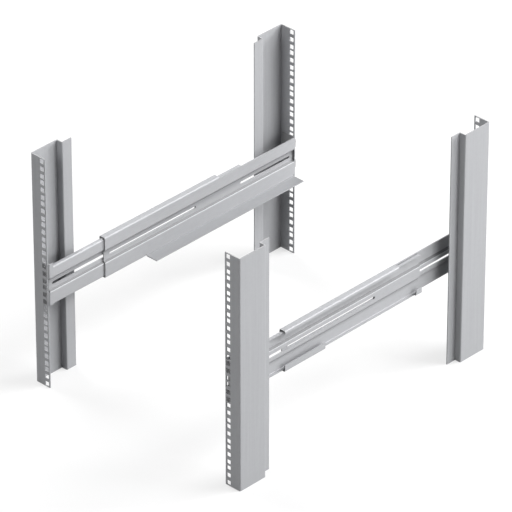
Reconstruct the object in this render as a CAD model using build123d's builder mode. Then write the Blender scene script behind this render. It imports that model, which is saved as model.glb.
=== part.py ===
from build123d import *
from math import atan2, tan
import os

# A pair of depth-adjusting server rails between four rack posts, in millimetres.
# X runs across the rack, the front is at -Y, and the posts stand on Z = 0.
# Every piece is drawn on the right-hand side and mirrored for the left.

# Rack posts
unit_height = 44.45
units_tall = 11
depth_over_posts = 652
clear_width = 450
post_width = 36
post_sheet = 2
post_bend = 0.5
post_web_depth = 66
post_joggle = 13
post_lip = 22
square_hole = 9.5
hole_inset = 7.55
hole_spacing = 15.875
holes_per_unit = 3

# Both rail parts, in the two rack units that they fill
rail_sheet = 2
rail_bend = 1
rail_first_unit = 4
rail_units = 2
server_clearance = 4.4
slide_gap = 0.4
recess_depth = 4
recess_low = 33.2
recess_high = 53.2
recess_lower_run = 4
recess_upper_run = 5
slot_middle = 42.9
tab_reach = 30
tab_clearance = 0.4

# Front rail part: an open channel behind the front tab
front_channel_height = 80.3
front_flange_width = 7.5
front_root_depth = 13
front_rail_end = 505
front_slot_start = 13.5
front_slot_end = 385
front_slot_height = 7
front_notch_width = 9.5
stop_ear_length = 15
stop_ear_height = 12

# Rear rail part: wraps the front part and carries the server on its ledge
rear_rail_length = 507
rear_wall_height = 82.2
rear_flange_length = 300
rear_flange_lip = 7
guide_width = 14.4
hook_gap = 0.6
hook_length = 105
hook_height = 13.9
ledge_width = 26.5
ledge_bend = 2.5
ledge_rear_gap = 4.4
relief_width = 1.5
relief_top = 2.5
rear_slot_height = 5.5
first_slot_start = 14.5
first_slot_end = 241.5
second_slot_start = 360.6
second_slot_end = 493.4

# M6 fasteners
screw_radius = 3
thread_gap = 0.05
hole_gap = 0.2
hexagon_width = 10
nut_height = 5
washer_width = 16
washer_thickness = 1.6
screw_head_height = 4
screw_reach = 12

# The screw heads behind the rear posts count in the depth, which is centred on Y = 0
overall_depth = depth_over_posts + washer_thickness + screw_head_height
front_face = -overall_depth / 2
rear_face = front_face + depth_over_posts

post_height = units_tall * unit_height
hole_x = clear_width / 2 + hole_inset
server_x = clear_width / 2 - server_clearance
rail_base = rail_first_unit * unit_height
half_sheet = rail_sheet / 2
fold = rail_bend + half_sheet
rear_wall_x = server_x + half_sheet
nesting = rail_sheet + slide_gap
front_wall_x = rear_wall_x + nesting
front_flange_edge = front_wall_x - half_sheet + front_flange_width
tab_edge = clear_width / 2 + tab_reach
guide_x = server_x + guide_width - half_sheet
rail_middle = rail_base + rail_units * unit_height / 2
channel_bottom = rail_base + tab_clearance
channel_top = channel_bottom + front_channel_height
hook_floor = channel_bottom - hook_gap - half_sheet
rear_wall_top = rail_base + rear_wall_height
wall_foot = hook_floor - half_sheet
relief_z = rail_base + relief_top
slot_z = rail_base + slot_middle
front_tab_back = front_face + post_sheet + rail_sheet
rear_tab_front = rear_face - post_sheet - rail_sheet
rear_tab_back = rear_tab_front + rail_sheet
rear_rail_start = rear_tab_back - rear_rail_length
tab_top = rail_base + rail_units * unit_height - tab_clearance
root_start = front_tab_back + rail_bend
root_end = front_face + front_root_depth
free_hole_radius = screw_radius + hole_gap
hexagon_radius = hexagon_width / 2
head_seat = rear_face + washer_thickness


def across(y):
    """The upright plane that cuts the rack from side to side at this depth."""
    return Plane.XZ.offset(-y)


def folded_sheet(plane, centre_line, thickness, bend):
    """The section of a folded sheet, from the corners of its centre line."""
    with BuildSketch(plane) as section:
        with BuildLine() as path:
            FilletPolyline(*centre_line, radius=bend)
        trace(path.line, line_width=thickness)
    return section.sketch


def recess_corners(wall_x, outset):
    """The long outward step of a wall, from its top down; outset keeps nested walls parallel."""
    upper = outset * tan(atan2(recess_depth, recess_upper_run) / 2)
    lower = outset * tan(atan2(recess_depth, recess_lower_run) / 2)
    top = rail_base + recess_high + upper
    bottom = rail_base + recess_low - lower
    return [
        (wall_x, top + recess_upper_run),
        (wall_x + recess_depth, top),
        (wall_x + recess_depth, bottom),
        (wall_x, bottom - recess_lower_run),
    ]


def make_post(outer_face, inward):
    """A post with square holes on its flange, a web, a joggle and a free lip."""
    flange_y = outer_face + inward * post_sheet / 2
    joggle_y = outer_face + inward * (post_web_depth - post_sheet / 2)
    lip_end = outer_face + inward * (post_web_depth + post_lip)
    web_x = clear_width / 2 + post_width - post_sheet / 2
    lip_x = web_x - post_joggle
    corners = [
        (clear_width / 2, flange_y),
        (web_x, flange_y),
        (web_x, joggle_y),
        (lip_x, joggle_y),
        (lip_x, lip_end),
    ]
    with BuildPart() as post:
        section = folded_sheet(Plane.XY, corners, post_sheet, post_bend + post_sheet / 2)
        extrude(section, amount=post_height, dir=(0, 0, 1))
        with BuildSketch(across(outer_face)):
            with Locations((hole_x, post_height / 2)):
                with GridLocations(unit_height, unit_height, 1, units_tall):
                    with GridLocations(unit_height, hole_spacing, 1, holes_per_unit):
                        Rectangle(square_hole, square_hole)
        extrude(amount=post_sheet, dir=(0, inward, 0), mode=Mode.SUBTRACT)
    return post.part


def slot_cutter(start, end, height):
    """A long bar with round ends that cuts one slot through a recess wall."""
    with BuildPart() as cutter:
        with BuildSketch(Plane.YZ.offset(server_x)):
            with Locations(((start + end) / 2, slot_z)):
                SlotOverall(end - start, height)
        extrude(amount=guide_width)
    return cutter.part


def make_nuts(heights, seat, inward):
    """Hexagon nuts welded to a tab, with their bores in line with its holes."""
    with BuildPart() as nuts:
        with BuildSketch(across(seat)):
            with Locations(*[(hole_x, z) for z in heights]):
                RegularPolygon(radius=hexagon_radius, side_count=6, major_radius=False)
                Circle(screw_radius + thread_gap, mode=Mode.SUBTRACT)
        extrude(amount=nut_height, dir=(0, inward, 0))
    return nuts.part


# The outer rows of holes in each unit take the server's screws; the middle row holds the rear
outer_rows = [rail_middle + side * (unit_height / 2 + hole_spacing) for side in (-1, 1)]
middle_rows = [rail_middle + side * unit_height / 2 for side in (-1, 1)]
front_nut_rows = outer_rows + middle_rows

# Posts
post_front_right = make_post(front_face, 1)
post_rear_right = make_post(rear_face, -1)

# Front rail part: the tab and its root, the notch, then the channel behind them
with BuildPart() as front_rail_right:
    tab = [
        (tab_edge, front_tab_back - half_sheet),
        (front_wall_x, front_tab_back - half_sheet),
        (front_wall_x, root_end),
    ]
    tab_section = folded_sheet(Plane.XY.offset(channel_bottom), tab, rail_sheet, fold)
    extrude(tab_section, amount=tab_top - channel_bottom, dir=(0, 0, 1))
    notch_rows = [corner[1] for corner in recess_corners(front_wall_x, nesting)]
    with BuildSketch(across(front_face)):
        with Locations((front_wall_x - rail_sheet, (notch_rows[0] + notch_rows[-1]) / 2)):
            Rectangle(
                front_notch_width + half_sheet,
                notch_rows[0] - notch_rows[-1],
                align=(Align.MIN, Align.CENTER),
            )
    extrude(amount=root_end - front_face, dir=(0, 1, 0), mode=Mode.SUBTRACT)

    root = [
        (front_wall_x, tab_top),
        *recess_corners(front_wall_x, nesting),
        (front_wall_x, channel_bottom),
    ]
    root_section = folded_sheet(across(root_start), root, rail_sheet, fold)
    extrude(root_section, amount=root_end - root_start, dir=(0, 1, 0))
    channel = [
        (front_flange_edge, channel_top - half_sheet),
        (front_wall_x, channel_top - half_sheet),
        *recess_corners(front_wall_x, nesting),
        (front_wall_x, channel_bottom + half_sheet),
        (front_flange_edge, channel_bottom + half_sheet),
    ]
    channel_section = folded_sheet(across(root_end), channel, rail_sheet, fold)
    extrude(channel_section, amount=front_rail_end - front_root_depth, dir=(0, 1, 0))

    ear = [
        (front_wall_x + fold, channel_bottom + half_sheet),
        (guide_x, channel_bottom + half_sheet),
        (guide_x, channel_bottom + stop_ear_height),
    ]
    ear_start = front_face + front_rail_end - stop_ear_length
    ear_section = folded_sheet(across(ear_start), ear, rail_sheet, fold)
    extrude(ear_section, amount=stop_ear_length, dir=(0, 1, 0))

    slot_start = front_face + front_slot_start
    slot_end = front_face + front_slot_end
    add(slot_cutter(slot_start, slot_end, front_slot_height), mode=Mode.SUBTRACT)
    with BuildSketch(across(front_face)):
        with Locations(*[(hole_x, z) for z in front_nut_rows]):
            Circle(free_hole_radius)
    extrude(amount=front_tab_back - front_face, dir=(0, 1, 0), mode=Mode.SUBTRACT)

# Rear rail part: the wall and its flange, the guide hook, the ledge and the rear tab
with BuildPart() as rear_rail_right:
    flanged = [
        (guide_x, rear_wall_top + rail_sheet - rear_flange_lip),
        (guide_x, rear_wall_top + half_sheet),
        (rear_wall_x, rear_wall_top + half_sheet),
        *recess_corners(rear_wall_x, 0),
        (rear_wall_x, relief_z),
    ]
    flanged_section = folded_sheet(across(rear_rail_start), flanged, rail_sheet, fold)
    extrude(flanged_section, amount=rear_flange_length, dir=(0, 1, 0))
    plain = [
        (rear_wall_x, rear_wall_top),
        *recess_corners(rear_wall_x, 0),
        (rear_wall_x, relief_z),
    ]
    plain_start = rear_rail_start + rear_flange_length
    plain_section = folded_sheet(across(plain_start), plain, rail_sheet, fold)
    extrude(plain_section, amount=rear_tab_front - rail_bend - plain_start, dir=(0, 1, 0))

    hook = [
        (rear_wall_x, relief_z),
        (rear_wall_x, hook_floor),
        (guide_x, hook_floor),
        (guide_x, hook_floor - half_sheet + hook_height),
    ]
    hook_section = folded_sheet(across(rear_rail_start), hook, rail_sheet, fold)
    extrude(hook_section, amount=hook_length, dir=(0, 1, 0))
    ledge = [
        (rear_wall_x, relief_z),
        (rear_wall_x, hook_floor),
        (server_x - ledge_width, hook_floor),
    ]
    ledge_start = rear_rail_start + hook_length + relief_width
    ledge_end = rear_tab_front - ledge_rear_gap
    ledge_section = folded_sheet(across(ledge_start), ledge, rail_sheet, ledge_bend + half_sheet)
    extrude(ledge_section, amount=ledge_end - ledge_start, dir=(0, 1, 0))

    rear_tab = [
        (tab_edge, rear_tab_front + half_sheet),
        (rear_wall_x, rear_tab_front + half_sheet),
        (rear_wall_x, rear_tab_front - fold),
    ]
    rear_tab_section = folded_sheet(Plane.XY.offset(wall_foot), rear_tab, rail_sheet, fold)
    extrude(rear_tab_section, amount=rear_wall_top - wall_foot, dir=(0, 0, 1))
    foot_start = ledge_end + relief_width
    foot_end = rear_tab_front - rail_bend
    with BuildSketch(Plane.XY.offset(wall_foot)):
        with Locations((rear_wall_x, (foot_start + foot_end) / 2)):
            Rectangle(rail_sheet, foot_end - foot_start)
    extrude(amount=relief_z - wall_foot, dir=(0, 0, 1))

    for start, end in ((first_slot_start, first_slot_end), (second_slot_start, second_slot_end)):
        slot = slot_cutter(rear_rail_start + start, rear_rail_start + end, rear_slot_height)
        add(slot, mode=Mode.SUBTRACT)
    with BuildSketch(across(rear_tab_front)):
        with Locations(*[(hole_x, z) for z in middle_rows]):
            Circle(free_hole_radius)
    extrude(amount=rail_sheet, dir=(0, 1, 0), mode=Mode.SUBTRACT)

# Nuts behind the front tabs and in front of the rear tabs
front_nuts_right = make_nuts(front_nut_rows, front_tab_back, 1)
rear_nuts_right = make_nuts(middle_rows, rear_tab_front, -1)

# Washers and screws behind the rear posts
with BuildPart() as rear_washers_right:
    with BuildSketch(across(rear_face)):
        with Locations(*[(hole_x, z) for z in middle_rows]):
            Rectangle(washer_width, washer_width)
            Circle(free_hole_radius, mode=Mode.SUBTRACT)
    extrude(amount=washer_thickness, dir=(0, 1, 0))

with BuildPart() as rear_screws_right:
    with BuildSketch(across(head_seat)):
        with Locations(*[(hole_x, z) for z in middle_rows]):
            RegularPolygon(radius=hexagon_radius, side_count=6, major_radius=False)
    extrude(amount=screw_head_height, dir=(0, 1, 0))
    with BuildSketch(across(head_seat)):
        with Locations(*[(hole_x, z) for z in middle_rows]):
            Circle(screw_radius)
    extrude(amount=screw_reach + washer_thickness, dir=(0, -1, 0))

right_pieces = {
    "post_front": post_front_right,
    "post_rear": post_rear_right,
    "front_rail": front_rail_right.part,
    "rear_rail": rear_rail_right.part,
    "front_nuts": front_nuts_right,
    "rear_nuts": rear_nuts_right,
    "rear_washers": rear_washers_right.part,
    "rear_screws": rear_screws_right.part,
}
os.makedirs("parts", exist_ok=True)
for name, piece in right_pieces.items():
    with BuildPart() as right:
        add(piece)
    with BuildPart() as left:
        mirror(piece, about=Plane.YZ)
    for side, built in (("right", right), ("left", left)):
        built.part.label = f"{name}_{side}"
        export_step(built.part, f"parts/{name}_{side}.step")
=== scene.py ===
import math
import bmesh
import bpy
import numpy as np
from mathutils import Matrix, Vector


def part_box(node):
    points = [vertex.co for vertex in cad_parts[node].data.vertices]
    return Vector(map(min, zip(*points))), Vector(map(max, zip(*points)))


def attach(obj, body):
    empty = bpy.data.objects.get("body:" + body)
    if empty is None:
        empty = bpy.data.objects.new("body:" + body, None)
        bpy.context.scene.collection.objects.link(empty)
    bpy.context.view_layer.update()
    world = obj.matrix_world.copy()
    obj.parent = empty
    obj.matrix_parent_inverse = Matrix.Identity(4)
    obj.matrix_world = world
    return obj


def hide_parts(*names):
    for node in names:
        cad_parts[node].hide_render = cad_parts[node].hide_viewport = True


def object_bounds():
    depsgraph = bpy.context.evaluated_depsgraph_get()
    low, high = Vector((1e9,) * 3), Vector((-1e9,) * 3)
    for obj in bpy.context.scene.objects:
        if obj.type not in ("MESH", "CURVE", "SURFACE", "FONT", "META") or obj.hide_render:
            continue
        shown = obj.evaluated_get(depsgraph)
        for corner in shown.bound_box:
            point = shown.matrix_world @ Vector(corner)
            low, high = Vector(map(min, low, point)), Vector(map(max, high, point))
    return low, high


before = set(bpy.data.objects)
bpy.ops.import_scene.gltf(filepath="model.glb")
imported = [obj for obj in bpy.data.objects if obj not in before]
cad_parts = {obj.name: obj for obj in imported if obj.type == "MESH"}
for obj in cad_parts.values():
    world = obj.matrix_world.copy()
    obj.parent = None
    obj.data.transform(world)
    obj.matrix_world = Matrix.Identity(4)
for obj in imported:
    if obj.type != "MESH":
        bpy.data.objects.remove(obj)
cadLow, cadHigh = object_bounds()
print("frame loaded:", len(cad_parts), "nodes")

# zinc-grey sheet steel of the four posts, rolled along their height
postFinish = {
    "colour": (0.376, 0.381, 0.395),
    "tint": (0.291, 0.295, 0.306),
    "cutEdge": (0.350, 0.352, 0.358),
    "metal": 0.10,
    "shine": 0.30,
    "roughness": 0.52,
    "roughnessSpread": 0.10,
    "rollAxis": 2,
    "marksAcross": 260.0,    # roll marks per metre
    "marksAlong": 5.0,
    "grainDepth": 0.10,
}

# the same stock on the rails, rolled along the depth; colour and tint are set a little lighter than
# the posts', as painted light
railFinish = {
    "colour": (0.396, 0.401, 0.416),
    "tint": (0.303, 0.307, 0.318),
    # cut ends painted dark: painted shade along the rails' sheared ends
    "cutEdge": (0.262, 0.264, 0.270),
    "metal": 0.12,
    "shine": 0.30,
    "roughness": 0.50,
    "roughnessSpread": 0.10,
    "rollAxis": 1,
    "marksAcross": 520.0,
    "marksAlong": 60.0,
    "grainDepth": 0.10,
}

# plated fasteners
fastenerFinish = {
    "colour": (0.300, 0.300, 0.300),
    "tint": (0.260, 0.260, 0.258),
    "cutEdge": (0.300, 0.300, 0.300),
    "metal": 0.40,
    "shine": 0.40,
    "roughness": 0.48,
    "roughnessSpread": 0.12,
    "rollAxis": 1,
    "marksAcross": 700.0,
    "marksAlong": 60.0,
    "grainDepth": 0.06,
}

# the grain that every finish shares
grainLook = {
    "markShare": 0.70,          # shares of the tint
    "spangleShare": 0.12,
    "patchShare": 0.18,
    "markDetail": 4.0,
    "markRoughness": 0.6,
    "spanglesPerMetre": 140.0,
    "spangleBlur": 0.6,
    "patchesPerMetre": 9.0,
    "patchDetail": 3.0,
    "patchMiddle": 0.5,
    "shearedFrom": 0.9,         # cosine to the end axis, past which a face is a sheared end
    "relief": 0.0002,           # height of the roll marks at full grain depth
}


def addNode(tree, kind, **values):
    node = tree.nodes.new(kind)
    for name, value in values.items():
        setattr(node, name, value)
    return node


# one group for every steel: long roll marks, faint zinc spangle and slow dull patches
def makeSteelGroup(look):
    group = bpy.data.node_groups.new("rolledSteel", "ShaderNodeTree")
    wanted = {
        "INPUT": [("Colour", "NodeSocketColor"), ("Tint", "NodeSocketColor"),
                  ("Cut Edge", "NodeSocketColor"), ("Stretch", "NodeSocketVector"),
                  ("End Axis", "NodeSocketVector"), ("Roughness", "NodeSocketFloat"),
                  ("Spread", "NodeSocketFloat")],
        "OUTPUT": [("Colour", "NodeSocketColor"), ("Roughness", "NodeSocketFloat"),
                   ("Height", "NodeSocketFloat")],
    }
    for way, sockets in wanted.items():
        for name, kind in sockets:
            group.interface.new_socket(name, in_out=way, socket_type=kind)
    inputs = addNode(group, "NodeGroupInput")
    outputs = addNode(group, "NodeGroupOutput")
    coords = addNode(group, "ShaderNodeTexCoord")
    link = group.links.new

    stretched = addNode(group, "ShaderNodeVectorMath", operation="MULTIPLY")
    link(coords.outputs["Object"], stretched.inputs[0])
    link(inputs.outputs["Stretch"], stretched.inputs[1])
    rollMarks = addNode(group, "ShaderNodeTexNoise")
    rollMarks.inputs["Scale"].default_value = 1.0
    rollMarks.inputs["Detail"].default_value = look["markDetail"]
    rollMarks.inputs["Roughness"].default_value = look["markRoughness"]
    link(stretched.outputs[0], rollMarks.inputs["Vector"])

    spangle = addNode(group, "ShaderNodeTexVoronoi", feature="SMOOTH_F1")
    spangle.inputs["Scale"].default_value = look["spanglesPerMetre"]
    spangle.inputs["Smoothness"].default_value = look["spangleBlur"]
    link(coords.outputs["Object"], spangle.inputs["Vector"])
    patches = addNode(group, "ShaderNodeTexNoise")
    patches.inputs["Scale"].default_value = look["patchesPerMetre"]
    patches.inputs["Detail"].default_value = look["patchDetail"]
    link(coords.outputs["Object"], patches.inputs["Vector"])

    # tint amount = markShare * roll marks + spangleShare * spangle + patchShare * patches
    markTint = addNode(group, "ShaderNodeMath", operation="MULTIPLY")
    markTint.inputs[1].default_value = look["markShare"]
    link(rollMarks.outputs["Fac"], markTint.inputs[0])
    spangleTint = addNode(group, "ShaderNodeMath", operation="MULTIPLY_ADD")
    spangleTint.inputs[1].default_value = look["spangleShare"]
    link(spangle.outputs["Distance"], spangleTint.inputs[0])
    link(markTint.outputs[0], spangleTint.inputs[2])
    patchTint = addNode(group, "ShaderNodeMath", operation="MULTIPLY_ADD")
    patchTint.inputs[1].default_value = look["patchShare"]
    link(patches.outputs["Fac"], patchTint.inputs[0])
    link(spangleTint.outputs[0], patchTint.inputs[2])
    body = addNode(group, "ShaderNodeMix", data_type="RGBA")
    link(patchTint.outputs[0], body.inputs["Factor"])
    link(inputs.outputs["Colour"], body.inputs["A"])
    link(inputs.outputs["Tint"], body.inputs["B"])

    # sheared ends face along the end axis, either way; they take the cut edge colour, which on the
    # rails is painted shade
    facing = addNode(group, "ShaderNodeVectorMath", operation="DOT_PRODUCT")
    link(coords.outputs["Normal"], facing.inputs[0])
    link(inputs.outputs["End Axis"], facing.inputs[1])
    eitherWay = addNode(group, "ShaderNodeMath", operation="ABSOLUTE")
    link(facing.outputs["Value"], eitherWay.inputs[0])
    sheared = addNode(group, "ShaderNodeMath", operation="GREATER_THAN")
    sheared.inputs[1].default_value = look["shearedFrom"]
    link(eitherWay.outputs[0], sheared.inputs[0])
    edge = addNode(group, "ShaderNodeMix", data_type="RGBA")
    link(sheared.outputs[0], edge.inputs["Factor"])
    link(body.outputs["Result"], edge.inputs["A"])
    link(inputs.outputs["Cut Edge"], edge.inputs["B"])
    link(edge.outputs["Result"], outputs.inputs["Colour"])

    # roughness = base + spread * (patches - patchMiddle)
    centred = addNode(group, "ShaderNodeMath", operation="SUBTRACT")
    centred.inputs[1].default_value = look["patchMiddle"]
    link(patches.outputs["Fac"], centred.inputs[0])
    rough = addNode(group, "ShaderNodeMath", operation="MULTIPLY_ADD")
    link(centred.outputs[0], rough.inputs[0])
    link(inputs.outputs["Spread"], rough.inputs[1])
    link(inputs.outputs["Roughness"], rough.inputs[2])
    link(rough.outputs[0], outputs.inputs["Roughness"])
    link(rollMarks.outputs["Fac"], outputs.inputs["Height"])
    return group


# painted light and shade on the rails, by height in metres: painted shade on the folds' slopes and
# painted highlights on the crests, each with a middle, half a height and an amount; painted shade
# ramps have a height where they start, one where they are full, and an amount
frontPaintedLight = {
    "lowFold": (0.2091, 0.0020, 0.64),
    "highFold": (0.2352, 0.0024, 0.64),
    "ledgeFold": (0.0, 0.0001, 0.0),     # the front part has no ledge
    "shelf": (0.0, 0.0),
    "crests": (0.2175, 0.0165, 0.50),    # painted highlight on the rounded edges of the recess
    "innerShade": (0.2150, 0.2310, 0.30),
    "outerShade": (0.1970, 0.2050, 0.18),
}
rearPaintedLight = {
    "lowFold": (0.2100, 0.0020, 0.64),
    "highFold": (0.2344, 0.0024, 0.64),
    "ledgeFold": (0.1790, 0.0026, 0.50),
    "shelf": (0.1785, 0.13),             # top and amount: painted shade on the ledge's top face
    "crests": (0.2175, 0.0165, 0.50),
    "innerShade": (0.2150, 0.2310, 0.30),
    "outerShade": (0.1980, 0.2060, 0.18),
}

# the painted light group's inputs for each of those
paintedLightSockets = {
    "lowFold": ("Low Middle", "Low Half", "Low Dull"),
    "highFold": ("High Middle", "High Half", "High Dull"),
    "ledgeFold": ("Ledge Middle", "Ledge Half", "Ledge Dull"),
    "shelf": ("Shelf Top", "Shelf Shade"),
    "crests": ("Crest Middle", "Crest Half", "Crest Highlight"),
    "innerShade": ("Inner Start", "Inner Full", "Inner Shade"),
    "outerShade": ("Outer Start", "Outer Full", "Outer Shade"),
}
paintedLightLook = {
    "sideways": 0.5,     # how far a face looks into or out of the rack before it takes a painted shade ramp
    "rampEnd": 0.001,    # a painted shade ramp stops this far above its full height
}


# painted light on a rail: colour kept = (1 + (highlight * crest(z) - shade * band(z)) * 4 t^2 (1 -
# t^2)) * (1 - ramp(z)), where t is how far the sheet looks up; painted highlights on the crests,
# painted shade on the folds' slopes, and painted shade ramps, one on faces that look into the rack
# and another on those that look out of it; the ledge's top face takes more painted shade
def buildPaintedLightGroup(look):
    group = bpy.data.node_groups.new("paintedLightAndShade", "ShaderNodeTree")
    for name in sum(paintedLightSockets.values(), ()):
        group.interface.new_socket(name, in_out="INPUT", socket_type="NodeSocketFloat")
    group.interface.new_socket("Colour", in_out="INPUT", socket_type="NodeSocketColor")
    group.interface.new_socket("Colour", in_out="OUTPUT", socket_type="NodeSocketColor")
    inputs = addNode(group, "NodeGroupInput")
    outputs = addNode(group, "NodeGroupOutput")
    coords = addNode(group, "ShaderNodeTexCoord")
    given = inputs.outputs
    link = group.links.new

    def calc(operation, a, b=None, c=None):
        node = addNode(group, "ShaderNodeMath", operation=operation)
        for socket, value in zip(node.inputs, (a, b, c)):
            if isinstance(value, (int, float)):
                socket.default_value = value
            elif value is not None:
                link(value, socket)
        return node.outputs[0]

    place = addNode(group, "ShaderNodeSeparateXYZ")
    link(coords.outputs["Object"], place.inputs[0])
    facing = addNode(group, "ShaderNodeSeparateXYZ")
    link(coords.outputs["Normal"], facing.inputs[0])
    height = place.outputs["Z"]
    upward = calc("MAXIMUM", facing.outputs["Z"], 0.0)
    upSquare = calc("MULTIPLY", upward, upward)
    slope = calc("MULTIPLY", calc("MULTIPLY", upSquare, 4.0), calc("SUBTRACT", 1.0, upSquare))

    # painted shade on the slopes of the folds, inside their height bands
    bands, slopeShade = 0.0, 0.0
    for part in ("Low", "High", "Ledge"):
        band = calc("COMPARE", height, given[f"{part} Middle"], given[f"{part} Half"])
        bands = calc("MAXIMUM", bands, band)
        slopeShade = calc("ADD", slopeShade, calc("MULTIPLY", band, given[f"{part} Dull"]))
    # painted highlight on the crests of the recess, outside the fold bands
    between = calc("COMPARE", height, given["Crest Middle"], given["Crest Half"])
    crestOnly = calc("MULTIPLY", between, calc("SUBTRACT", 1.0, bands))
    crestHighlight = calc("MULTIPLY", calc("MULTIPLY", slope, crestOnly), given["Crest Highlight"])
    keep = calc("ADD", calc("SUBTRACT", 1.0, calc("MULTIPLY", slope, slopeShade)), crestHighlight)

    # painted shade ramps: in the recess on faces that look into the rack, under the lower step on
    # faces that look out
    outward = calc("MULTIPLY", calc("SIGN", place.outputs["X"]), facing.outputs["X"])
    sides = {
        "Inner": calc("LESS_THAN", outward, -look["sideways"]),
        "Outer": calc("GREATER_THAN", outward, look["sideways"]),
    }
    for part, side in sides.items():
        ramp = addNode(group, "ShaderNodeMapRange", interpolation_type="SMOOTHSTEP")
        link(height, ramp.inputs["Value"])
        link(given[f"{part} Start"], ramp.inputs["From Min"])
        link(given[f"{part} Full"], ramp.inputs["From Max"])
        below = calc("LESS_THAN", height, calc("ADD", given[f"{part} Full"], look["rampEnd"]))
        shade = calc("MULTIPLY", calc("MULTIPLY", ramp.outputs["Result"], below), side)
        unshaded = calc("SUBTRACT", 1.0, calc("MULTIPLY", shade, given[f"{part} Shade"]))
        keep = calc("MULTIPLY", keep, unshaded)

    # painted shade on the ledge's top face
    onShelf = calc("MULTIPLY", calc("LESS_THAN", height, given["Shelf Top"]), upSquare)
    shelfUnshaded = calc("SUBTRACT", 1.0, calc("MULTIPLY", onShelf, given["Shelf Shade"]))
    keep = calc("MULTIPLY", keep, shelfUnshaded)

    shaded = addNode(group, "ShaderNodeVectorMath", operation="SCALE")
    link(given["Colour"], shaded.inputs[0])
    link(keep, shaded.inputs["Scale"])
    link(shaded.outputs[0], outputs.inputs["Colour"])
    return group


def makeSteel(name, finish, steelGroup, paintedLightGroup=None, paintedLightValues=None):
    material = bpy.data.materials.new(name)
    material.use_nodes = True
    tree = material.node_tree
    shader = tree.nodes["Principled BSDF"]
    steel = addNode(tree, "ShaderNodeGroup", node_tree=steelGroup)
    for socket, key in [("Colour", "colour"), ("Tint", "tint"), ("Cut Edge", "cutEdge")]:
        steel.inputs[socket].default_value = (*finish[key], 1)
    stretch = [finish["marksAcross"]] * 3
    stretch[finish["rollAxis"]] = finish["marksAlong"]
    endAxis = [0.0, 0.0, 0.0]
    endAxis[finish["rollAxis"]] = 1.0
    steel.inputs["Stretch"].default_value = stretch
    steel.inputs["End Axis"].default_value = endAxis
    steel.inputs["Roughness"].default_value = finish["roughness"]
    steel.inputs["Spread"].default_value = finish["roughnessSpread"]
    bump = addNode(tree, "ShaderNodeBump")
    bump.inputs["Strength"].default_value = finish["grainDepth"]
    bump.inputs["Distance"].default_value = grainLook["relief"]
    shader.inputs["Metallic"].default_value = finish["metal"]
    shader.inputs["Specular IOR Level"].default_value = finish["shine"]
    colour = steel.outputs["Colour"]
    # the rails' painted light and shade go onto their colour
    if paintedLightValues:
        paintedLightNode = addNode(tree, "ShaderNodeGroup", node_tree=paintedLightGroup)
        for key, sockets in paintedLightSockets.items():
            for socket, value in zip(sockets, paintedLightValues[key]):
                paintedLightNode.inputs[socket].default_value = value
        tree.links.new(colour, paintedLightNode.inputs["Colour"])
        colour = paintedLightNode.outputs["Colour"]
    tree.links.new(colour, shader.inputs["Base Color"])
    tree.links.new(steel.outputs["Roughness"], shader.inputs["Roughness"])
    tree.links.new(steel.outputs["Height"], bump.inputs["Height"])
    tree.links.new(bump.outputs["Normal"], shader.inputs["Normal"])
    return material


steelGroup = makeSteelGroup(grainLook)
paintedLightGroup = buildPaintedLightGroup(paintedLightLook)
postSteel = makeSteel("postSteel", postFinish, steelGroup)
frontRailSteel = makeSteel("frontRailSteel", railFinish, steelGroup, paintedLightGroup, frontPaintedLight)
rearRailSteel = makeSteel("rearRailSteel", railFinish, steelGroup, paintedLightGroup, rearPaintedLight)
fastenerSteel = makeSteel("fastenerSteel", fastenerFinish, steelGroup)
steelOf = {
    "post_front": postSteel, "post_rear": postSteel,
    "front_rail": frontRailSteel, "rear_rail": rearRailSteel,
    "front_nuts": fastenerSteel, "rear_nuts": fastenerSteel,
    "rear_washers": fastenerSteel, "rear_screws": fastenerSteel,
}
for nodeName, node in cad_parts.items():
    kind = nodeName.rsplit("_", 1)[0]
    for slotNumber in range(len(node.data.materials)):
        node.data.materials[slotNumber] = steelOf[kind]
print("materials on the frame's nodes")

# M6 fasteners: hexagons with turned corners, and threads cut or rolled at 1 mm pitch
threadLook = {
    "around": 72,
    "rowsPerTurn": 6,
    "pitch": 0.001,
    "nutDepth": 0.00045,
    "screwDepth": 0.00055,
    "lead": 0.0005,             # bevel where a thread starts
    "cornerStart": 0.95,        # share of the flat's radius where the corners start to turn down
    "cornerSlope": 0.577,       # tangent of the 30 degree chamfer
    "undersideShare": 0.2,      # share of the chamfer's drop that a screw's head has underneath
    "shankRadius": 0.003,
    "boreRadius": 0.00305,
    "smoothAngle": 24.0,
    "solidGap": 0.003,          # the solids of one node lie further apart than this
}


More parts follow.
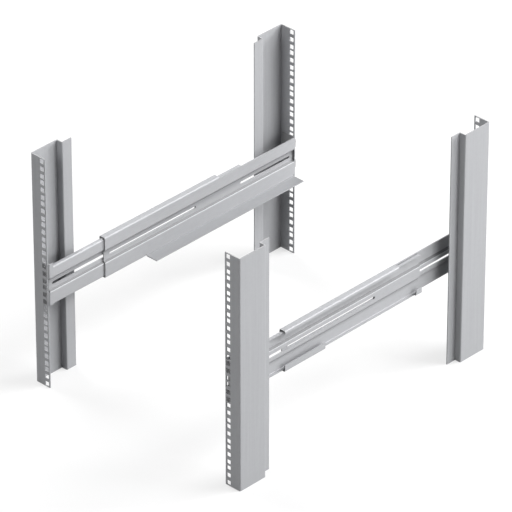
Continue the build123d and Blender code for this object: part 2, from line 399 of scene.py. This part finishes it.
# vertex = centre + (r cos a, y, r sin a) over rows of the profile and angles a around the bolt's
# axis, joined row to row, and either closed on itself or with a pole at both ends
def ringMesh(radii, heights, centres, closed):
    rows, around = radii.shape
    angle = np.linspace(0, 2 * np.pi, around, endpoint=False)
    ring = np.stack([radii * np.cos(angle), heights, radii * np.sin(angle)], axis=-1)
    ring = ring.reshape(-1, 3)
    row = np.arange(rows if closed else rows - 1)[:, None]
    step = np.arange(around)[None, :]
    here, above = row * around, (row + 1) % rows * around
    after = (step + 1) % around
    faces = np.stack([here + step, here + after, above + after, above + step], axis=-1)
    faces = faces.reshape(-1, 4)
    loops = faces.ravel()
    sizes = np.full(len(faces), 4)
    if not closed:
        poles = np.array([[0, heights[0].mean(), 0], [0, heights[-1].mean(), 0]])
        ring = np.concatenate([ring, poles])
        lowPole, highPole = np.full(around, rows * around), np.full(around, rows * around + 1)
        lastRow = (rows - 1) * around
        lowFan = np.stack([lowPole, after[0], step[0]], axis=-1)
        highFan = np.stack([highPole, lastRow + step[0], lastRow + after[0]], axis=-1)
        loops = np.concatenate([loops, lowFan.ravel(), highFan.ravel()])
        sizes = np.concatenate([sizes, np.full(2 * around, 3)])
    points = (ring[None] + centres[:, None]).reshape(-1, 3)
    shift = np.arange(len(centres))[:, None] * len(ring)
    return points, (loops[None] + shift).ravel(), np.tile(sizes, len(centres))


# a tooth that rises and falls once per pitch, shifted by the angle so that it winds
def windingTooth(heights, look):
    turn = np.linspace(0, 1, look["around"], endpoint=False)[None, :]
    phase = heights / look["pitch"] + turn
    return 1 - np.abs(2 * (phase % 1) - 1)


# hexagon: r(a) = flat / cos((a mod 60) - 30), and its corners drop by slope * (r - start)
def hexagonOf(flat, look):
    angle = np.linspace(0, 2 * np.pi, look["around"], endpoint=False)
    radius = flat / np.cos(angle % (np.pi / 3) - np.pi / 6)
    start = flat * look["cornerStart"]
    return radius, np.full_like(radius, start), look["cornerSlope"] * (radius - start)


# out over the low face, up the hexagon, in over the high face and back down the bore
def nutProfile(low, high, flat, look, threaded):
    corner, start, drop = hexagonOf(flat, look)
    level = np.ones_like(corner)
    mouth = level * (look["boreRadius"] + look["lead"] / 2)
    count = int((high - low) / look["pitch"] * look["rowsPerTurn"]) if threaded else 2
    inside = np.linspace(high - look["lead"], low + look["lead"], count)[:, None] * level
    bore = np.full(inside.shape, look["boreRadius"])
    if threaded:
        bore = bore - look["nutDepth"] * windingTooth(inside, look)
    radii = np.vstack([mouth, start, corner, corner, start, mouth, bore])
    heights = np.vstack([level * low, level * low, low + drop, high - drop,
                         level * high, level * high, inside])
    return radii, heights


# up the threaded shank from its tip, out under the head at the seat, and up the hexagon
def screwProfile(tip, top, flat, seat, look):
    corner, start, drop = hexagonOf(flat, look)
    level = np.ones_like(corner)
    count = int((seat - tip) / look["pitch"] * look["rowsPerTurn"])
    along = np.linspace(tip + look["lead"], seat - look["lead"], count)[:, None] * level
    shank = look["shankRadius"] - look["screwDepth"] * windingTooth(along, look)
    blunt = level * (look["shankRadius"] - look["screwDepth"])
    underside = level * seat + drop * look["undersideShare"]
    radii = np.vstack([blunt, shank, blunt, start, corner, corner, start])
    heights = np.vstack([level * tip, along, level * seat, level * seat,
                         underside, top - drop, level * top])
    return radii, heights


# the middles of the solids in one CAD node, which stand above each other, the node's ends along
# the bolts, and the radius of a hexagon's flats
def middlesOf(nodeName, look):
    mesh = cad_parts[nodeName].data
    places = np.empty(len(mesh.vertices) * 3)
    mesh.vertices.foreach_get("co", places)
    x, y, z = places.reshape(-1, 3).T
    levels = np.unique(z.round(6))
    solids = np.split(levels, np.nonzero(np.diff(levels) > look["solidGap"])[0] + 1)
    heights = np.array([(solid[0] + solid[-1]) / 2 for solid in solids])
    across = (x.min() + x.max()) / 2
    centres = np.stack([np.full(len(heights), across), np.zeros(len(heights)), heights], axis=-1)
    return centres, y.min(), y.max(), (x.max() - across) * math.cos(math.pi / 6)


def makeFastener(pieceName, nodeName, body, profile, closed, look):
    centres, low, high, flat = middlesOf(nodeName, look)
    points, loops, sizes = ringMesh(*profile(low, high, flat), centres, closed)
    mesh = bpy.data.meshes.new(pieceName)
    mesh.vertices.add(len(points))
    mesh.vertices.foreach_set("co", points.ravel())
    mesh.loops.add(len(loops))
    mesh.loops.foreach_set("vertex_index", loops)
    mesh.polygons.add(len(sizes))
    mesh.polygons.foreach_set("loop_start", np.concatenate([[0], np.cumsum(sizes)[:-1]]))
    mesh.update(calc_edges=True)
    mesh.validate()
    shape = bmesh.new()
    shape.from_mesh(mesh)
    bmesh.ops.recalc_face_normals(shape, faces=shape.faces)
    shape.to_mesh(mesh)
    shape.free()
    mesh.polygons.foreach_set("use_smooth", np.ones(len(mesh.polygons), dtype=bool))
    mesh.set_sharp_from_angle(angle=math.radians(look["smoothAngle"]))
    mesh.materials.append(fastenerSteel)
    piece = bpy.data.objects.new(pieceName, mesh)
    bpy.context.collection.objects.link(piece)
    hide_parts(nodeName)
    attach(piece, body)


# the rear nuts keep a plain bore, because the screws fill it
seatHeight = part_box("rear_washers_left")[1][1]
for side in ("left", "right"):
    end = side.title()
    makeFastener(f"frontNuts{end}", f"front_nuts_{side}", f"front_{side}",
                 lambda *size: nutProfile(*size, threadLook, True), True, threadLook)
    makeFastener(f"rearNuts{end}", f"rear_nuts_{side}", "rear_frame",
                 lambda *size: nutProfile(*size, threadLook, False), True, threadLook)
    makeFastener(f"rearScrews{end}", f"rear_screws_{side}", "rear_frame",
                 lambda *size: screwProfile(*size, seatHeight, threadLook), False, threadLook)
print("nuts and screws ready")

# floor, light and camera
floorLook = {
    "halfSize": 14.0,
    "paint": 0.22,       # what the lamps see
    "glow": 0.66,        # added for the camera and for reflections, so that the lit floor is white
}


def makeFloor(look):
    half = look["halfSize"]
    corners = [(-half, -half, 0), (half, -half, 0), (half, half, 0), (-half, half, 0)]
    mesh = bpy.data.meshes.new("floor")
    mesh.from_pydata(corners, [], [(0, 1, 2, 3)])
    floor = bpy.data.objects.new("floor", mesh)
    bpy.context.collection.objects.link(floor)
    material = bpy.data.materials.new("floorPaint")
    material.use_nodes = True
    tree = material.node_tree
    tree.nodes.clear()
    paint = addNode(tree, "ShaderNodeBsdfDiffuse")
    paint.inputs["Color"].default_value = (look["paint"], look["paint"], look["paint"], 1)
    rays = addNode(tree, "ShaderNodeLightPath")
    seen = addNode(tree, "ShaderNodeMath", operation="MAXIMUM")
    tree.links.new(rays.outputs["Is Camera Ray"], seen.inputs[0])
    tree.links.new(rays.outputs["Is Glossy Ray"], seen.inputs[1])
    strength = addNode(tree, "ShaderNodeMath", operation="MULTIPLY")
    strength.inputs[1].default_value = look["glow"]
    tree.links.new(seen.outputs[0], strength.inputs[0])
    glow = addNode(tree, "ShaderNodeEmission")
    tree.links.new(strength.outputs[0], glow.inputs["Strength"])
    both = addNode(tree, "ShaderNodeAddShader")
    out = addNode(tree, "ShaderNodeOutputMaterial")
    tree.links.new(paint.outputs[0], both.inputs[0])
    tree.links.new(glow.outputs[0], both.inputs[1])
    tree.links.new(both.outputs[0], out.inputs["Surface"])
    mesh.materials.append(material)


makeFloor(floorLook)

# nothing shines in from around, so the lamps alone shape the steel
skyLook = {"strength": 0.0, "colour": (1.0, 1.0, 1.0)}
world = bpy.data.worlds.new("studio")
world.use_nodes = True
background = world.node_tree.nodes["Background"]
background.inputs["Color"].default_value = (*skyLook["colour"], 1)
background.inputs["Strength"].default_value = skyLook["strength"]
bpy.context.scene.world = world

# soft round lamps that face the middle of the rack: place and size in metres, and watts
lamps = {
    "backHighLamp": {"place": (3.6, 3.3, 6.0), "size": 3.0, "watts": 445},
    "backLamp": {"place": (3.0, 6.5, 3.5), "size": 3.0, "watts": 728},
    "sideLamp": {"place": (6.0, 0.6, 4.0), "size": 3.6, "watts": 63},
    "farHighLamp": {"place": (-3.6, 0.5, 6.2), "size": 3.0, "watts": 273},
    "farSideLamp": {"place": (-6.6, -0.9, 1.9), "size": 3.2, "watts": 246},
    "frontLamp": {"place": (0.5, -6.5, 3.8), "size": 3.0, "watts": 214},
    "lowBackLamp": {"place": (5.8, 3.6, 1.6), "size": 2.6, "watts": 127},
    "lowSideLamp": {"place": (6.6, 1.6, 1.4), "size": 2.6, "watts": 92},
}


def makeLamp(name, look):
    light = bpy.data.lights.new(name, "AREA")
    light.shape = "DISK"
    light.size = look["size"]
    light.energy = look["watts"]
    lamp = bpy.data.objects.new(name, light)
    lamp.location = look["place"]
    middle = Vector((0, 0, cadHigh.z / 2))
    lamp.rotation_euler = (middle - lamp.location).to_track_quat("-Z", "Y").to_euler()
    bpy.context.collection.objects.link(lamp)


for lampName, lampLook in lamps.items():
    makeLamp(lampName, lampLook)

# the photograph's view through a long lens: azimuth from -Y towards +X, in degrees as the
# elevation and the roll are, with lengths in metres
cameraLook = {
    "azimuth": 43.9096,
    "elevation": 31.9315,
    "roll": -0.0341,
    "distance": 9.9121,
    "aside": -0.00962,
    "raised": -0.00654,
    "postsMiddle": -0.0028,     # along Y, between the front and the rear posts
    "focalPixels": 5426.1,
    "framePixels": 512.0,
    "sensor": 36.0,             # in millimetres
    "farthest": 100.0,
}


def makeCamera(look):
    azimuth, elevation, roll = (math.radians(look[key]) for key in ("azimuth", "elevation", "roll"))
    level = math.cos(elevation)
    back = Vector((math.sin(azimuth) * level, -math.cos(azimuth) * level, math.sin(elevation)))
    sideways = (-back).cross(Vector((0, 0, 1))).normalized()
    raised = sideways.cross(-back)
    right = math.cos(roll) * sideways + math.sin(roll) * raised
    up = -math.sin(roll) * sideways + math.cos(roll) * raised
    middle = Vector((0, look["postsMiddle"], cadHigh.z / 2))
    place = middle + back * look["distance"] + right * look["aside"] + up * look["raised"]
    data = bpy.data.cameras.new("camera")
    data.sensor_fit = "HORIZONTAL"
    data.sensor_width = look["sensor"]
    data.lens = look["focalPixels"] / look["framePixels"] * look["sensor"]
    data.clip_end = look["farthest"]
    camera = bpy.data.objects.new("camera", data)
    turn = Matrix((right, up, back)).transposed().to_4x4()
    camera.matrix_world = Matrix.Translation(place) @ turn
    bpy.context.collection.objects.link(camera)
    bpy.context.scene.camera = camera


makeCamera(cameraLook)
bpy.context.scene.view_settings.view_transform = "Standard"
print("floor, lamps and camera ready")
